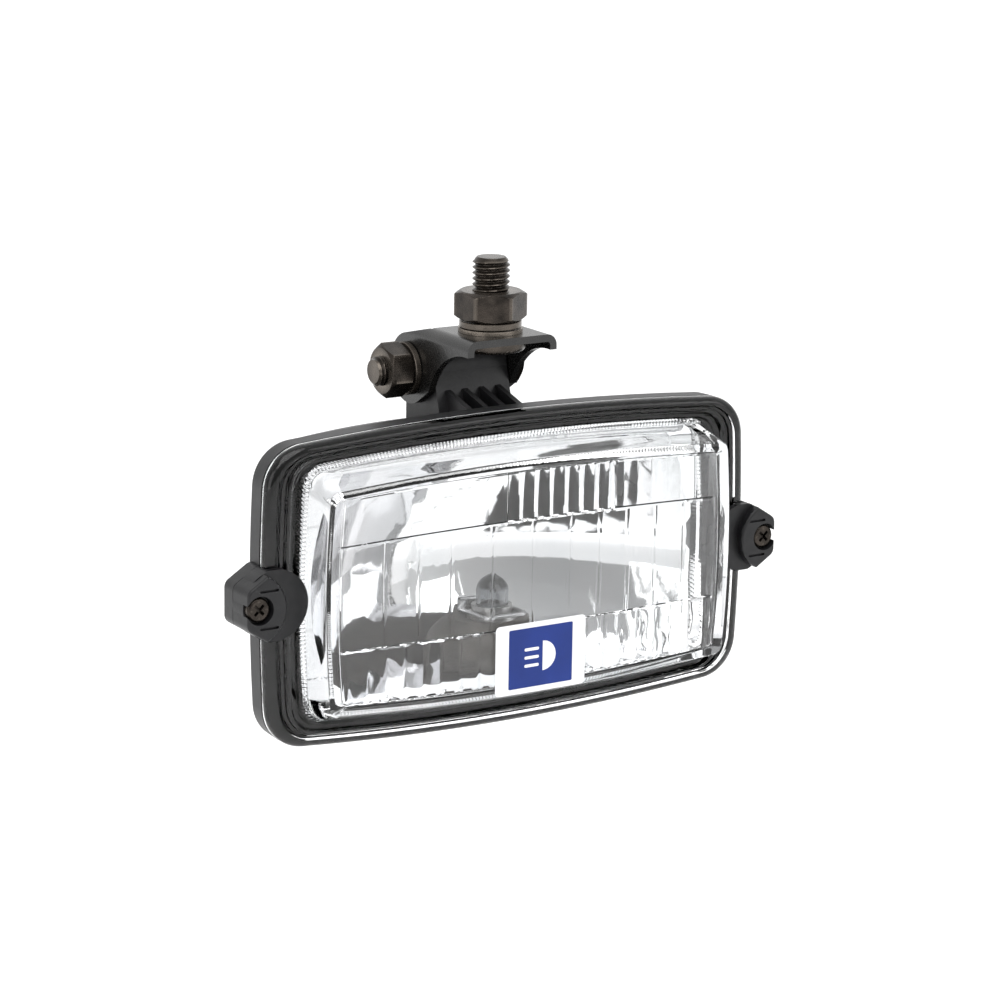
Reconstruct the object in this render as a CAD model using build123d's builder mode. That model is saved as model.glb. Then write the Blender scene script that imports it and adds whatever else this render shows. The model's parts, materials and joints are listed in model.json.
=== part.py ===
"""Rectangular fog light that hangs from one stud, as an assembly of separate pieces.

Millimetres. The origin is on the stud's axis, on the top face of the bracket, where the
lamp seats against the vehicle. +Z is up along the stud, +X is the lamp's width, and the
glass faces -Y.
"""

import os

from build123d import *

os.makedirs("parts", exist_ok=True)

# ---- Driving dimensions -------------------------------------------------------------------

# Glass: a flange with a bead and a ridge round a hollow step
GLASS_WIDTH = 150.0
GLASS_HEIGHT = 85.4
GLASS_CORNER = 11.5
TOP_BOW = 3.45  # how far the long edges bulge at their middle
SIDE_BOW = 1.4
HEIGHT_INSET_SHARE = 0.61  # the flange is narrower above and below than at the sides
CORNER_INSET_SHARE = 0.6  # how much a corner's radius shrinks with the inset
GLASS_BACK = -11.0  # y of the glass flange's rear face
LAMP_HEIGHT = -61.8  # z of the lamp's centre
FLANGE_THICKNESS = 2.2
BEAD_WIDTH = 3.2
BEAD_HEIGHT = 3.2
BEAD_ROUND = 2.2
RIDGE_INSETS = (5.8, 7.0)
RIDGE_HEIGHT = 3.0
STEP_FOOT = (63.6, 35.5)  # half width and half height where the step leaves the flange
STEP_FOOT_CORNER = 5.2
STEP_FRONT = (63.0, 32.0)
STEP_FRONT_CORNER = 2.3
STEP_BOW = 2.5
FRONT_HEIGHT = 13.3
GLASS_WALL = 2.6

# Seal and housing
SEAL_THICKNESS = 0.6
SEAL_INSETS = (0.8, 9.3)
RIM_DEPTH = 6.2
RIM_DRAFT = 0.3
BODY_DEPTH = 58.0
BODY_FRONT = (69.0, 41.2)  # half width and half height behind the rim
BODY_BACK = (44.0, 29.0)
BODY_CORNER = 12.0
BODY_BACK_ROUND = 6.0
HOUSING_WALL = 2.2
REFLECTOR_SEAT_INSET = 2.6
REFLECTOR_SEAT_DEPTH = 2.6

# Lugs, and the clips and screws that hold the glass to them
LUG_ROOT_X = 71.0
LUG_SHOULDER_X = 75.6
LUG_REACH = 82.5
LUG_ROOT_HALF = 9.4
LUG_TIP_HALF = 5.0
LUG_ROUND = 2.5
LUG_DEPTH = 5.2
GUSSET = (64.0, 77.0, 14.0, 2.4)  # from x, to x, depth of its foot, thickness
CLIP_GAP = 0.2
CLIP_FRONT = 7.9
PAD_ARC_X = 80.7  # centre of the arc that ends the clip's raised pad
PAD_ARC_R = 9.5
TONGUE_FRONT = 5.2
TONGUE_CENTRE_X = 73.2
GLASS_ROOM = 0.1
CLIP_EDGE_ROUND = 0.7
CLIP_GROOVE = (76.4, 4.9, 5.4, 0.7, 0.8)  # x, z from the middle, length, width, depth
CLIP_SCREW_X = 79.0
CLIP_SCREW_R = 2.0
CLIP_HEAD_R = 3.2
CLIP_HEAD_HEIGHT = 2.0
CLIP_RECESS_R = 3.8
CLIP_RECESS_FLOOR = 5.2
CROSS_RECESS = (3.6, 0.8, 1.3)  # span, width and depth
SCREW_HOLE_SPARE = 0.2
SCREW_TIP_DEPTH = 4.8

# Tilt pivot in the housing's neck
PIVOT_Y = 19.0
PIVOT_Z = -12.1
NECK_HALF = 11.5
NECK_R = 9.3
NECK_FRONT_Y = 6.4
NECK_BACK_Y = 24.0
NECK_HEEL_DROP = 6.0
NECK_FOOT = 34.0  # height above the lamp's centre, like the three that follow
NECK_WAIST = 38.5
RIB_TOPS = (41.3, 45.3)
RIB_FEET = (37.5, 35.5)
RIB_YS = (-5.2, 9.4)
RIB_XS = (-7.8, -2.6, 2.6, 7.8)
RIB_THICKNESS = 1.6
PIVOT_BOLT_R = 4.0
SLEEVE_R = 6.0
RUNNING_GAP = 0.05

# Bracket
BRACKET_HALF = 13.8
SHEET = 2.0
BEND_R = 3.0
PLATE_FRONT = -11.2
PLATE_BACK = 10.4
LIP_DEPTH = 4.2
EAR_R = 9.6
EAR_SWEEP_R = 20.0
EAR_SWEEP_SETBACK = 1.2
CHANNEL_DEPTH = 30.0

# Mounting stud and its fasteners
STUD_R = 5.0
STUD_SHANK_R = 4.5
STUD_HEAD_R = 9.5
STUD_HEAD_HEIGHT = 2.8
STUD_HEAD_ROUND = 1.2
STUD_TOP = 20.0
STUD_CHAMFER = 1.0
FLAT_WASHER = (8.6, 1.1)  # radius and thickness, as for the other washers
SPRING_WASHER = (8.3, 2.2)
STUD_NUT_FLATS = 17.0
STUD_NUT_HEIGHT = 7.7
STUD_NUT_TURN = 33.0
SEAT_GAP = 0.05

# Pivot fasteners
PIVOT_FLATS = 13.0
PIVOT_NUT_HEIGHT = 6.5
PIVOT_NUT_TURN = 19.0
PIVOT_HEAD_HEIGHT = 5.3
PIVOT_WASHER = (7.2, 2.0)
PIVOT_END = -24.8
PIVOT_CHAMFER = 0.8

# Reflector, bulb and socket. Depths are measured from the glass flange's rear face, and
# heights from the lamp's centre
FOCAL_LENGTH = 25.0
VERTEX_DEPTH = 35.0
BOWL_HALF_HEIGHT = 29.5
REFLECTOR_WALL = 1.2
REFLECTOR_CLEARANCE = 0.3
REFLECTOR_LIFT = 0.2
SOCKET_DEPTH = 13.0
SOCKET_R = 14.4
SOCKET_TOP_R = 10.4
SOCKET_FOOT_R = 12.6
SOCKET_NECK_R = 10.8
SOCKET_BULGE = 5.5
SOCKET_NECK_DROP = 4.0
SOCKET_HOLE_SPARE = 0.2
SOCKET_BORE_R = 5.6
BULB_DEPTH = 9.0
BULB_R = 4.6
BULB_TOP = -4.0
BULB_FOOT = -15.0
BULB_WALL = 0.8
BULB_FLANGE = (6.6, 1.0)  # radius and thickness
BULB_CUP = (5.5, 2.6, 2.2)  # radius, height and depth inside
BULB_PLUG = (5.3, 9.0)  # radius and length of the part that hangs in the socket
FILAMENT_RISE = 6.0
FILAMENT_HALF = 2.0
FILAMENT_R = 0.55
POST_X = 1.7
POST_R = 0.25
TERMINAL = (6.3, 0.8, 9.0)
CONNECTOR = (8.6, 3.6, 10.0)
CONNECTOR_GRIP = 7.5
CONNECTOR_LIFT = 1.5
WIRE_R = 0.55
WIRE_HALF = 6.2
WIRE_END_HALF = 1.8
WIRE_BEND_R = 1.4
WIRE_FRONT = -6.6  # y from the bulb's axis, like the two that follow
WIRE_SHOULDER = 4.6
WIRE_END = 10.2
CLIP_POST_OFFSET = 11.6
CLIP_POST_HEAD = (1.9, 2.6)
CLIP_POST_SHANK = (1.0, 5.0)
SLOT_SIZE = (3.8, 0.6, 0.8)
EARTH_TAB = (6.3, 12.0, 0.8)
EARTH_TAB_DEPTH = 10.0
EARTH_RIVET = (1.6, 0.8)
EARTH_RIVET_DEPTH = 7.0

# Cable grommet in the housing's back
GROMMET_X = 22.0
GROMMET_Z = -12.0
CABLE_R = 2.75
GROMMET_R = 6.0
GROMMET_FLANGE_R = 8.5
GROMMET_INSIDE = 1.6
GROMMET_OUTSIDE = 4.0
GROMMET_TAPER = 14.0

# Label on the glass
LABEL_SIZE = (28.2, 19.2)
LABEL_CENTRE = (2.0, -21.85)
LABEL_CORNER = 1.2
LABEL_THICKNESS = 0.2

WIDE = 400.0  # wider than the whole lamp, for cuts that go right across
SPARE = 1.0  # how far other cuts run past the faces they start and end at


# ---- Shared shapes ------------------------------------------------------------------------


def across(depth):
    """A plane that faces forwards, this far behind the glass flange's rear face."""
    return Plane(origin=(0, GLASS_BACK + depth, LAMP_HEIGHT), x_dir=(1, 0, 0), z_dir=(0, -1, 0))


def bowed_rectangle(half_width, half_height, top_bow, side_bow, corner):
    """A rectangle with bulging sides and round corners."""
    x = half_width - side_bow
    z = half_height - top_bow
    with BuildSketch() as shape:
        with BuildLine():
            ThreePointArc((-x, z), (0, half_height), (x, z))
            ThreePointArc((x, z), (half_width, 0), (x, -z))
            ThreePointArc((x, -z), (0, -half_height), (-x, -z))
            ThreePointArc((-x, -z), (-half_width, 0), (-x, z))
        make_face()
        fillet(shape.vertices(), corner)
    return shape.sketch


def lamp_outline(inset):
    """The glass's outline, this far inside its edge at the sides."""
    half_width = GLASS_WIDTH / 2 - inset
    half_height = GLASS_HEIGHT / 2 - inset * HEIGHT_INSET_SHARE
    bow = TOP_BOW * (half_width / (GLASS_WIDTH / 2)) ** 2
    corner = GLASS_CORNER - CORNER_INSET_SHARE * inset
    return bowed_rectangle(half_width, half_height, bow, SIDE_BOW, corner)


def bead_inside():
    """The inner edge of the glass's bead, which is as wide above and below as at the sides."""
    half_width = GLASS_WIDTH / 2 - BEAD_WIDTH
    half_height = GLASS_HEIGHT / 2 - BEAD_WIDTH
    return bowed_rectangle(half_width, half_height, TOP_BOW, SIDE_BOW, GLASS_CORNER - BEAD_WIDTH)


def lamp_ring(outer, inner):
    """A ring between two insets of the glass's outline."""
    with BuildSketch() as shape:
        add(lamp_outline(outer))
        add(lamp_outline(inner), mode=Mode.SUBTRACT)
    return shape.sketch


def step_outline(size, corner, wall):
    """The glass's hollow step, cut across, inside its wall."""
    return bowed_rectangle(size[0] - wall, size[1] - wall, STEP_BOW, SIDE_BOW, corner)


def body_outline(depth, wall):
    """The housing body's outline at a depth, inside its wall."""
    share = (depth - RIM_DEPTH) / (BODY_DEPTH - RIM_DEPTH)
    half_width = BODY_FRONT[0] + share * (BODY_BACK[0] - BODY_FRONT[0]) - wall
    half_height = BODY_FRONT[1] + share * (BODY_BACK[1] - BODY_FRONT[1]) - wall
    return bowed_rectangle(half_width, half_height, TOP_BOW, SIDE_BOW, BODY_CORNER - wall)


def save(piece, name):
    """Labels a finished piece and writes it as a node."""
    piece.part.label = name
    export_step(piece.part, f"parts/{name}.step")


# ---- Lens and its seal --------------------------------------------------------------------

with BuildPart() as lens:
    with BuildSketch(across(0)):
        add(lamp_outline(0))
    extrude(amount=FLANGE_THICKNESS)
    with BuildSketch(across(0)):
        add(lamp_outline(0))
        add(bead_inside(), mode=Mode.SUBTRACT)
    extrude(amount=BEAD_HEIGHT)
    fillet(lens.faces().sort_by(Axis.Y)[0].outer_wire().edges(), BEAD_ROUND)
    with BuildSketch(across(0)):
        add(lamp_ring(*RIDGE_INSETS))
    extrude(amount=RIDGE_HEIGHT)
    with BuildSketch(across(0)):
        add(step_outline(STEP_FOOT, STEP_FOOT_CORNER, 0))
    with BuildSketch(across(-FRONT_HEIGHT)):
        add(step_outline(STEP_FRONT, STEP_FRONT_CORNER, 0))
    loft()
    with BuildSketch(across(0)):
        add(step_outline(STEP_FOOT, STEP_FOOT_CORNER, GLASS_WALL))
    with BuildSketch(across(GLASS_WALL - FRONT_HEIGHT)):
        add(step_outline(STEP_FRONT, STEP_FRONT_CORNER, GLASS_WALL))
    loft(mode=Mode.SUBTRACT)
save(lens, "lens")

with BuildPart() as lens_seal:
    with BuildSketch(across(SEAL_THICKNESS)):
        add(lamp_ring(*SEAL_INSETS))
    extrude(amount=SEAL_THICKNESS)
save(lens_seal, "lens_seal")


# ---- Housing ------------------------------------------------------------------------------


def lug_outline(side):
    """A lug's outline at one side of the lamp: a flat tip with sloping flanks."""
    with BuildSketch() as shape:
        with BuildLine():
            Polyline(
                (side * LUG_ROOT_X, LUG_ROOT_HALF),
                (side * LUG_SHOULDER_X, LUG_ROOT_HALF),
                (side * LUG_REACH, LUG_TIP_HALF),
                (side * LUG_REACH, -LUG_TIP_HALF),
                (side * LUG_SHOULDER_X, -LUG_ROOT_HALF),
                (side * LUG_ROOT_X, -LUG_ROOT_HALF),
                close=True,
            )
        make_face()
        outer_corners = shape.vertices().filter_by(lambda v: abs(v.X) > LUG_ROOT_X + 1)
        fillet(outer_corners, LUG_ROUND)
    return shape.sketch


NECK_FOOT_Z = LAMP_HEIGHT + NECK_FOOT
NECK_WAIST_Z = LAMP_HEIGHT + NECK_WAIST

with BuildPart() as housing:
    with BuildSketch(across(SEAL_THICKNESS)):
        add(lamp_outline(0))
    with BuildSketch(across(RIM_DEPTH)):
        add(lamp_outline(RIM_DRAFT))
    loft()
    with BuildSketch(across(RIM_DEPTH)):
        add(body_outline(RIM_DEPTH, 0))
    with BuildSketch(across(BODY_DEPTH)):
        add(body_outline(BODY_DEPTH, 0))
    loft()
    fillet(housing.faces().sort_by(Axis.Y)[-1].edges(), BODY_BACK_ROUND)
    for side in (-1, 1):
        with BuildSketch(across(LUG_DEPTH)):
            add(lug_outline(side))
        extrude(amount=LUG_DEPTH - SEAL_THICKNESS)
        # A gusset behind the lug, down to the body
        with BuildSketch(Plane.XY.offset(LAMP_HEIGHT)):
            with BuildLine():
                Polyline(
                    (side * GUSSET[0], GLASS_BACK + LUG_DEPTH - 1),
                    (side * GUSSET[1], GLASS_BACK + LUG_DEPTH - 1),
                    (side * GUSSET[0], GLASS_BACK + GUSSET[2]),
                    close=True,
                )
            make_face()
        extrude(amount=GUSSET[3] / 2, both=True)
    # The neck: a barrel round the tilt pivot and a web down to the body
    with BuildSketch(Plane.YZ):
        with Locations((PIVOT_Y, PIVOT_Z)):
            Circle(NECK_R)
        with BuildLine():
            Polyline(
                (PIVOT_Y - NECK_R, PIVOT_Z),
                (NECK_FRONT_Y, NECK_WAIST_Z),
                (NECK_FRONT_Y, NECK_FOOT_Z),
                (NECK_BACK_Y, NECK_FOOT_Z),
                (NECK_BACK_Y, PIVOT_Z - NECK_HEEL_DROP),
                (PIVOT_Y + NECK_R, PIVOT_Z),
                close=True,
            )
        make_face()
    extrude(amount=NECK_HALF, both=True)
    # Gussets between the neck's front and the rim
    for rib_x in RIB_XS:
        with BuildSketch(Plane.YZ.offset(rib_x)):
            with BuildLine():
                Polyline(
                    (RIB_YS[1], LAMP_HEIGHT + RIB_TOPS[1]),
                    (RIB_YS[0], LAMP_HEIGHT + RIB_TOPS[0]),
                    (RIB_YS[0], LAMP_HEIGHT + RIB_FEET[0]),
                    (RIB_YS[1], LAMP_HEIGHT + RIB_FEET[1]),
                    close=True,
                )
            make_face()
        extrude(amount=RIB_THICKNESS / 2, both=True)
    # The hollow, and the seat for the reflector's flange
    with BuildSketch(across(0)):
        add(body_outline(0, HOUSING_WALL))
    with BuildSketch(across(BODY_DEPTH - HOUSING_WALL)):
        add(body_outline(BODY_DEPTH - HOUSING_WALL, HOUSING_WALL))
    loft(mode=Mode.SUBTRACT)
    with BuildSketch(across(REFLECTOR_SEAT_DEPTH)):
        add(lamp_outline(REFLECTOR_SEAT_INSET))
    extrude(amount=REFLECTOR_SEAT_DEPTH, mode=Mode.SUBTRACT)
    # Holes for the pivot sleeve, the clip screws and the grommet
    with BuildSketch(Plane.YZ):
        with Locations((PIVOT_Y, PIVOT_Z)):
            Circle(SLEEVE_R)
    extrude(amount=NECK_HALF + SPARE, both=True, mode=Mode.SUBTRACT)
    with BuildSketch(across(0)):
        with Locations((-CLIP_SCREW_X, 0), (CLIP_SCREW_X, 0)):
            Circle(CLIP_SCREW_R)
    extrude(amount=-LUG_DEPTH - SPARE, mode=Mode.SUBTRACT)
    with BuildSketch(across(BODY_DEPTH + SPARE)):
        with Locations((GROMMET_X, GROMMET_Z)):
            Circle(GROMMET_R)
    extrude(amount=HOUSING_WALL + 2 * SPARE, mode=Mode.SUBTRACT)
save(housing, "housing")

with BuildPart() as pivot_sleeve:
    with BuildSketch(Plane.YZ):
        with Locations((PIVOT_Y, PIVOT_Z)):
            Circle(SLEEVE_R)
            Circle(PIVOT_BOLT_R + RUNNING_GAP, mode=Mode.SUBTRACT)
    extrude(amount=NECK_HALF, both=True)
save(pivot_sleeve, "pivot_sleeve")


# ---- Clips that hold the lens, and their screws -------------------------------------------


def clip_outline(side):
    """A clip's outline: the lug's shape with a round tongue over the glass flange."""
    with BuildSketch() as shape:
        add(lug_outline(side))
        with Locations((side * TONGUE_CENTRE_X, 0)):
            Circle(LUG_ROOT_HALF)
    return shape.sketch


def pad_outline(side):
    """The raised pad on a clip: the lug's shape, ended by an arc towards the glass."""
    with BuildSketch() as shape:
        add(lug_outline(side))
        with Locations((side * PAD_ARC_X, 0)):
            Circle(PAD_ARC_R, mode=Mode.INTERSECT)
    return shape.sketch


def make_clip(side):
    """A cap that hooks over the glass flange, with a recess for its screw."""
    groove_x, groove_z, groove_length, groove_width, groove_depth = CLIP_GROOVE
    with BuildPart() as clip:
        with BuildSketch(across(SEAL_THICKNESS - CLIP_GAP)):
            add(clip_outline(side))
        extrude(amount=TONGUE_FRONT + SEAL_THICKNESS - CLIP_GAP)
        with BuildSketch(across(0)):
            add(pad_outline(side))
        extrude(amount=CLIP_FRONT)
        fillet(clip.faces().sort_by(Axis.Y)[0].edges(), CLIP_EDGE_ROUND)
        # Room for the edge of the glass and of its seal
        with BuildSketch(across(SEAL_THICKNESS)):
            add(lamp_outline(-GLASS_ROOM))
        extrude(amount=BEAD_HEIGHT + SEAL_THICKNESS + GLASS_ROOM, mode=Mode.SUBTRACT)
        with BuildSketch(across(-CLIP_FRONT)):
            with Locations((side * CLIP_SCREW_X, 0)):
                Circle(CLIP_RECESS_R)
        extrude(amount=CLIP_RECESS_FLOOR - CLIP_FRONT, mode=Mode.SUBTRACT)
        with BuildSketch(across(-CLIP_FRONT)):
            with Locations((side * CLIP_SCREW_X, 0)):
                Circle(CLIP_SCREW_R + SCREW_HOLE_SPARE)
        extrude(amount=-CLIP_FRONT - SEAL_THICKNESS, mode=Mode.SUBTRACT)
        # Two short grooves, above and below the screw
        with BuildSketch(across(-CLIP_FRONT)):
            with Locations((side * groove_x, groove_z), (side * groove_x, -groove_z)):
                SlotOverall(groove_length, groove_width)
        extrude(amount=-groove_depth, mode=Mode.SUBTRACT)
    return clip


def make_clip_screw(side):
    """A cross-recess pan head screw."""
    span, width, depth = CROSS_RECESS
    with BuildPart() as screw:
        with BuildSketch(across(-CLIP_RECESS_FLOOR)):
            with Locations((side * CLIP_SCREW_X, 0)):
                Circle(CLIP_HEAD_R)
        extrude(amount=CLIP_HEAD_HEIGHT)
        fillet(screw.faces().sort_by(Axis.Y)[0].edges(), width)
        with BuildSketch(across(-CLIP_RECESS_FLOOR)):
            with Locations((side * CLIP_SCREW_X, 0)):
                Circle(CLIP_SCREW_R)
        extrude(amount=-CLIP_RECESS_FLOOR - SCREW_TIP_DEPTH)
        with BuildSketch(across(-CLIP_RECESS_FLOOR - CLIP_HEAD_HEIGHT)):
            with Locations((side * CLIP_SCREW_X, 0)):
                Rectangle(span, width, rotation=45)
                Rectangle(span, width, rotation=-45)
        extrude(amount=-depth, mode=Mode.SUBTRACT)
    return screw


for side, hand in ((-1, "left"), (1, "right")):
    save(make_clip(side), f"{hand}_lens_clip")
    save(make_clip_screw(side), f"{hand}_clip_screw")


# ---- Label on the glass -------------------------------------------------------------------

with BuildPart() as front_label:
    with BuildSketch(across(-FRONT_HEIGHT)):
        with Locations(LABEL_CENTRE):
            RectangleRounded(*LABEL_SIZE, LABEL_CORNER)
    extrude(amount=LABEL_THICKNESS)
save(front_label, "front_label")


# ---- Reflector ----------------------------------------------------------------------------


def bowl(wall):
    """The space inside the bowl, moved out by a wall: a paraboloid with a flat roof and floor."""
    vertex = GLASS_BACK + VERTEX_DEPTH + wall
    reach = (4 * FOCAL_LENGTH * VERTEX_DEPTH) ** 0.5
    with BuildPart() as space:
        with BuildSketch(Plane.XY.offset(LAMP_HEIGHT)):
            with BuildLine():
                Bezier((0, vertex), (reach / 2 + wall, vertex), (reach + wall, GLASS_BACK))
                Line((reach + wall, GLASS_BACK), (0, GLASS_BACK))
                Line((0, GLASS_BACK), (0, vertex))
            make_face()
        revolve(axis=Axis((0, 0, LAMP_HEIGHT), (0, 1, 0)))
        with BuildSketch(across(0)):
            Rectangle(WIDE, 2 * (BOWL_HALF_HEIGHT + wall))
        extrude(amount=WIDE / 2, both=True, mode=Mode.INTERSECT)
    return space.part


FLOOR_Z = LAMP_HEIGHT - BOWL_HALF_HEIGHT
SOCKET_Y = GLASS_BACK + SOCKET_DEPTH
BOWL_OUTSIDE = bowl(REFLECTOR_WALL)
BOWL_INSIDE = bowl(0)

with BuildPart() as reflector:
    add(BOWL_OUTSIDE)
    with BuildSketch(across(SEAL_THICKNESS)):
        Rectangle(WIDE, WIDE)
    extrude(amount=WIDE / 2, mode=Mode.SUBTRACT)
    with BuildSketch(across(REFLECTOR_SEAT_DEPTH - REFLECTOR_LIFT)):
        add(lamp_outline(REFLECTOR_SEAT_INSET + REFLECTOR_CLEARANCE))
    extrude(amount=REFLECTOR_SEAT_DEPTH - REFLECTOR_LIFT - SEAL_THICKNESS)
    add(BOWL_INSIDE, mode=Mode.SUBTRACT)
    with BuildSketch(Plane.XY.offset(FLOOR_Z + SPARE)):
        with Locations((0, SOCKET_Y)):
            Circle(SOCKET_NECK_R + SOCKET_HOLE_SPARE)
    extrude(amount=-REFLECTOR_WALL - 2 * SPARE, mode=Mode.SUBTRACT)
save(reflector, "reflector")


# ---- Bulb, its socket and its spring clip -------------------------------------------------

BULB_Y = GLASS_BACK + BULB_DEPTH
FOOT_Z = LAMP_HEIGHT + BULB_FOOT
SOCKET_TOP = FOOT_Z - BULB_FLANGE[1]
SOCKET_REST = FLOOR_Z + RUNNING_GAP
PLUG_END = SOCKET_TOP - BULB_PLUG[1]
CLIP_POST_Y = BULB_Y + CLIP_POST_OFFSET

with BuildPart() as bulb_socket:
    with BuildSketch(Plane.XZ.offset(-SOCKET_Y)):
        with BuildLine():
            Line((0, SOCKET_TOP), (SOCKET_TOP_R, SOCKET_TOP))
            ThreePointArc(
                (SOCKET_TOP_R, SOCKET_TOP),
                (SOCKET_R, FLOOR_Z + SOCKET_BULGE),
                (SOCKET_FOOT_R, SOCKET_REST),
            )
            Polyline(
                (SOCKET_FOOT_R, SOCKET_REST),
                (SOCKET_NECK_R, SOCKET_REST),
                (SOCKET_NECK_R, FLOOR_Z - SOCKET_NECK_DROP),
                (0, FLOOR_Z - SOCKET_NECK_DROP),
                (0, SOCKET_TOP),
            )
        make_face()
    revolve(axis=Axis((0, SOCKET_Y, 0), (0, 0, 1)))
    with BuildSketch(Plane.XY.offset(SOCKET_TOP + SPARE)):
        with Locations((0, BULB_Y)):
            Circle(SOCKET_BORE_R)
    extrude(amount=-WIDE / 2, mode=Mode.SUBTRACT)
    with BuildSketch(Plane.XY.offset(SOCKET_TOP)):
        with Locations((0, CLIP_POST_Y)):
            Circle(CLIP_POST_SHANK[0])
    extrude(amount=-CLIP_POST_SHANK[1], mode=Mode.SUBTRACT)
save(bulb_socket, "bulb_socket")

with BuildPart() as bulb_base:
    with BuildSketch(Plane.XY.offset(SOCKET_TOP)):
        with Locations((0, BULB_Y)):
            Circle(BULB_FLANGE[0])
    extrude(amount=BULB_FLANGE[1])
    with BuildSketch(Plane.XY.offset(FOOT_Z)):
        with Locations((0, BULB_Y)):
            Circle(BULB_CUP[0])
    extrude(amount=BULB_CUP[1])
    with BuildSketch(Plane.XY.offset(FOOT_Z + BULB_CUP[1])):
        with Locations((0, BULB_Y)):
            Circle(BULB_R)
    extrude(amount=-BULB_CUP[2], mode=Mode.SUBTRACT)
    with BuildSketch(Plane.XY.offset(SOCKET_TOP)):
        with Locations((0, BULB_Y)):
            Circle(BULB_PLUG[0])
    extrude(amount=-BULB_PLUG[1])
save(bulb_base, "bulb_base")

GLASS_FOOT = FOOT_Z + BULB_CUP[1] - BULB_CUP[2]
GLASS_PINCH = GLASS_FOOT + 2 * BULB_WALL
GLASS_TOP = LAMP_HEIGHT + BULB_TOP
DOME_FOOT = GLASS_TOP - BULB_R
BULB_BORE_R = BULB_R - BULB_WALL

with BuildPart() as bulb_glass:
    with BuildSketch(Plane.XZ.offset(-BULB_Y)):
        with BuildLine():
            Polyline((0, GLASS_FOOT), (BULB_R, GLASS_FOOT), (BULB_R, DOME_FOOT))
            RadiusArc((BULB_R, DOME_FOOT), (0, GLASS_TOP), -BULB_R)
            Line((0, GLASS_TOP), (0, GLASS_TOP - BULB_WALL))
            RadiusArc((0, GLASS_TOP - BULB_WALL), (BULB_BORE_R, DOME_FOOT), BULB_BORE_R)
            Polyline((BULB_BORE_R, DOME_FOOT), (BULB_BORE_R, GLASS_PINCH), (0, GLASS_PINCH))
            Line((0, GLASS_PINCH), (0, GLASS_FOOT))
        make_face()
    revolve(axis=Axis((0, BULB_Y, 0), (0, 0, 1)))
save(bulb_glass, "bulb_glass")

with BuildPart() as bulb_filament:
    with BuildSketch(Plane.YZ):
        with Locations((BULB_Y, FOOT_Z + FILAMENT_RISE)):
            Circle(FILAMENT_R)
    extrude(amount=FILAMENT_HALF, both=True)
    with BuildSketch(Plane.XY.offset(GLASS_PINCH)):
        with Locations((-POST_X, BULB_Y), (POST_X, BULB_Y)):
            Circle(POST_R)
    extrude(amount=FOOT_Z + FILAMENT_RISE - GLASS_PINCH)
save(bulb_filament, "bulb_filament")

with BuildPart() as bulb_terminal:
    with BuildSketch(Plane.XY.offset(PLUG_END)):
        with Locations((0, BULB_Y)):
            Rectangle(TERMINAL[0], TERMINAL[1])
    extrude(amount=-TERMINAL[2])
save(bulb_terminal, "bulb_terminal")

with BuildPart() as feed_connector:
    with BuildSketch(Plane.XY.offset(PLUG_END - CONNECTOR_LIFT)):
        with Locations((0, BULB_Y)):
            Rectangle(CONNECTOR[0], CONNECTOR[1])
    extrude(amount=-CONNECTOR[2])
    with BuildSketch(Plane.XY.offset(PLUG_END - CONNECTOR_LIFT)):
        with Locations((0, BULB_Y)):
            Rectangle(TERMINAL[0], TERMINAL[1])
    extrude(amount=-CONNECTOR_GRIP, mode=Mode.SUBTRACT)
save(feed_connector, "feed_connector")

with BuildPart() as bulb_spring_clip:
    wire_z = FOOT_Z + WIRE_R + RUNNING_GAP
    with BuildLine() as wire_path:
        FilletPolyline(
            (-WIRE_END_HALF, BULB_Y + WIRE_END, wire_z),
            (-WIRE_HALF, BULB_Y + WIRE_SHOULDER, wire_z),
            (-WIRE_HALF, BULB_Y + WIRE_FRONT, wire_z),
            (WIRE_HALF, BULB_Y + WIRE_FRONT, wire_z),
            (WIRE_HALF, BULB_Y + WIRE_SHOULDER, wire_z),
            (WIRE_END_HALF, BULB_Y + WIRE_END, wire_z),
            radius=WIRE_BEND_R,
        )
    with BuildSketch(Plane(wire_path.line @ 0, z_dir=wire_path.line % 0)):
        Circle(WIRE_R)
    sweep()
save(bulb_spring_clip, "bulb_spring_clip")

with BuildPart() as spring_clip_screw:
    with BuildSketch(Plane.XY.offset(SOCKET_TOP)):
        with Locations((0, CLIP_POST_Y)):
            Circle(CLIP_POST_HEAD[0])
    extrude(amount=CLIP_POST_HEAD[1])
    with BuildSketch(Plane.XY.offset(SOCKET_TOP)):
        with Locations((0, CLIP_POST_Y)):
            Circle(CLIP_POST_SHANK[0])
    extrude(amount=-CLIP_POST_SHANK[1])
    with BuildSketch(Plane.XY.offset(SOCKET_TOP + CLIP_POST_HEAD[1])):
        with Locations((0, CLIP_POST_Y)):
            Rectangle(SLOT_SIZE[0], SLOT_SIZE[1])
    extrude(amount=-SLOT_SIZE[2], mode=Mode.SUBTRACT)
save(spring_clip_screw, "spring_clip_screw")

TAB_FOOT_Z = LAMP_HEIGHT + BOWL_HALF_HEIGHT + REFLECTOR_WALL

with BuildPart() as earth_tab:
    with BuildSketch(Plane.XY.offset(TAB_FOOT_Z)):
        with Locations((0, GLASS_BACK + EARTH_TAB_DEPTH)):
            Rectangle(EARTH_TAB[0], EARTH_TAB[1])
    extrude(amount=EARTH_TAB[2])
    with BuildSketch(Plane.XY.offset(TAB_FOOT_Z + EARTH_TAB[2])):
        with Locations((0, GLASS_BACK + EARTH_RIVET_DEPTH)):
            Circle(EARTH_RIVET[0])
    extrude(amount=EARTH_RIVET[1])
save(earth_tab, "earth_tab")


# ---- Cable grommet ------------------------------------------------------------------------

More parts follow.
